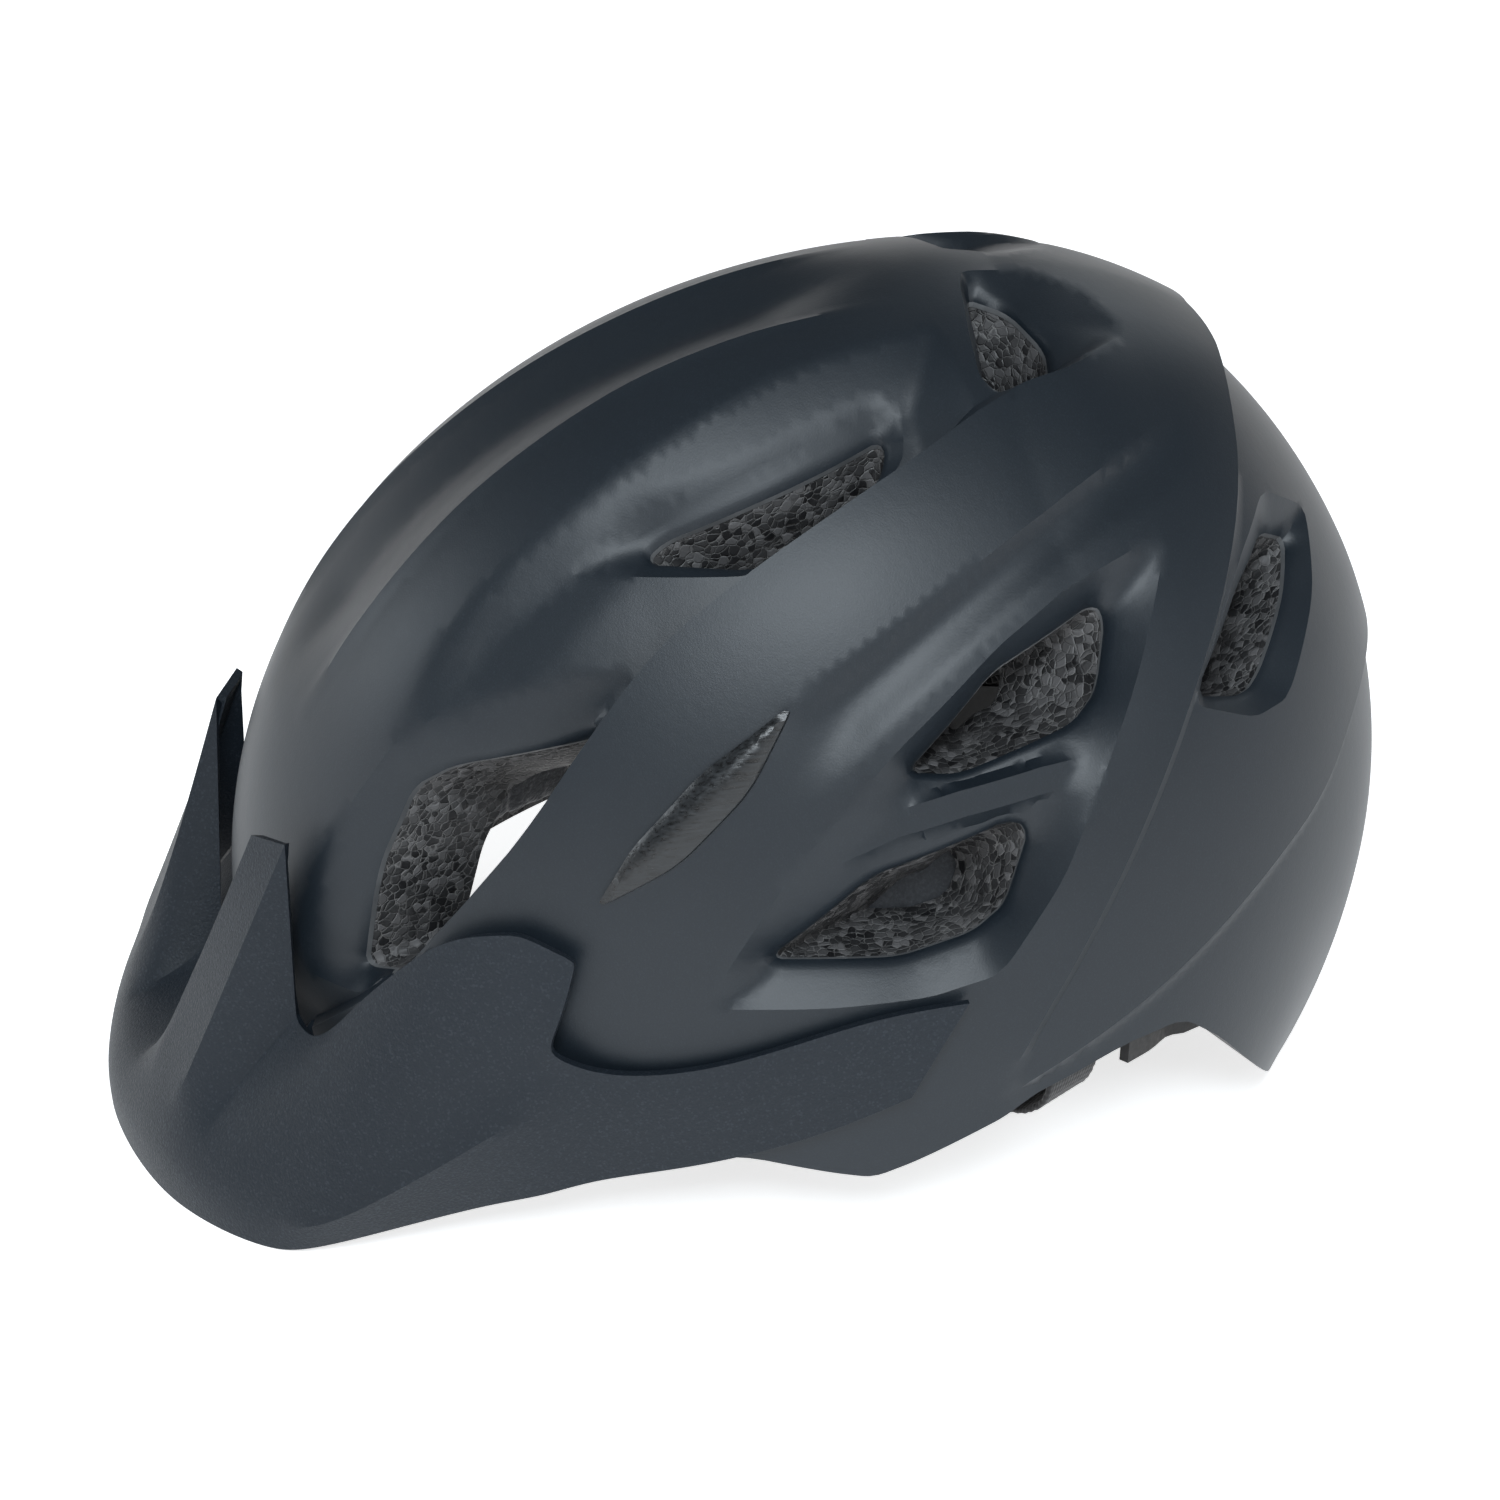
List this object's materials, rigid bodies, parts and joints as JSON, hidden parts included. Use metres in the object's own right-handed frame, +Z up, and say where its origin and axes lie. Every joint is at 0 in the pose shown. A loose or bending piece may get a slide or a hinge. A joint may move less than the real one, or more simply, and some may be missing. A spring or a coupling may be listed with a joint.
{
  "type": "cycling helmet",
  "caption": "Trail cycling helmet with vented shell, foam liner, detachable visor, dial-fit cradle, pads and strap harness.",
  "frame": {"origin": "on the surface the helmet stands on, under the middle of its bounding box", "axes": "+X to the wearer's left, +Y to the rear, +Z up; the helmet stands on its visor lip and two nape lobes"},
  "size_m": [0.2174, 0.297, 0.1835],
  "materials": {
    "skin": "satin slate-blue moulded polycarbonate",
    "foam": "moulded bead foam",
    "visor": "fine-textured",
    "insert": "gloss with a fine grain",
    "nylon": "moulded nylon",
    "dial": "moulded, ribbed grip",
    "pad": "brushed knit over foam",
    "hook_pad": "hook-and-loop",
    "webbing": "woven polyester",
    "buckle": "moulded acetal"
  },
  "bodies": {
    "helmet": {"outer_shell": "skin", "eps_liner": "foam", "side_insert_left": "insert", "side_insert_right": "insert", "visor_dot_left": "hook_pad", "visor_dot_right": "hook_pad", "headband": "nylon", "band_anchor_left": "nylon", "band_anchor_right": "nylon", "hanger_guide": "nylon", "brow_pad": "pad", "crown_pad": "pad", "side_pad_left": "pad", "side_pad_right": "pad", "strap_anchor_front_left": "nylon", "strap_anchor_front_right": "nylon", "strap_anchor_rear_left": "nylon", "strap_anchor_rear_right": "nylon", "strap_front_left": "webbing", "strap_front_right": "webbing", "strap_rear_left": "webbing", "strap_rear_right": "webbing", "strap_divider_left": "buckle", "strap_divider_right": "buckle", "chin_strap_left": "webbing", "buckle_socket": "buckle"},
    "visor": {"visor": "visor"},
    "cradle": {"dial_housing_front": "nylon", "dial_housing_rear": "nylon", "cradle_hanger": "nylon", "nape_pad": "pad"},
    "dial": {"dial_knob": "dial", "dial_pinion": "dial"},
    "band_left": {"tension_band_left": "nylon"},
    "band_right": {"tension_band_right": "nylon"},
    "buckle": {"buckle_plug": "buckle", "chin_strap_right": "webbing"}
  },
  "joints": [
    {"name": "visor_pull", "type": "slide", "parent": "helmet", "child": "visor", "axis": [0, -1, 0], "range_m": [0, 0.02]},
    {"name": "cradle_height", "type": "slide", "parent": "helmet", "child": "cradle", "axis": [0, 0, 1], "range_m": [-0.003, 0.012]},
    {"name": "dial_turn", "type": "hinge", "parent": "cradle", "child": "dial", "pos_m": [0, 0.1036, 0.017], "axis": [0, -1, 0], "range_deg": [0, 220]},
    {"name": "tension_left", "type": "slide", "parent": "cradle", "child": "band_left", "axis": [-1, 0, 0], "range_m": [0, 0.0125]},
    {"name": "tension_right", "type": "slide", "parent": "cradle", "child": "band_right", "axis": [1, 0, 0], "range_m": [0, 0.0125]},
    {"name": "buckle_release", "type": "slide", "parent": "helmet", "child": "buckle", "axis": [0, -1, 0], "range_m": [0, 0.018]}
  ],
  "couplings": [
    {"joint": "tension_left", "follows": "dial_turn", "m_per_rad": 0.0032},
    {"joint": "tension_right", "follows": "dial_turn", "m_per_rad": 0.0032}
  ]
}
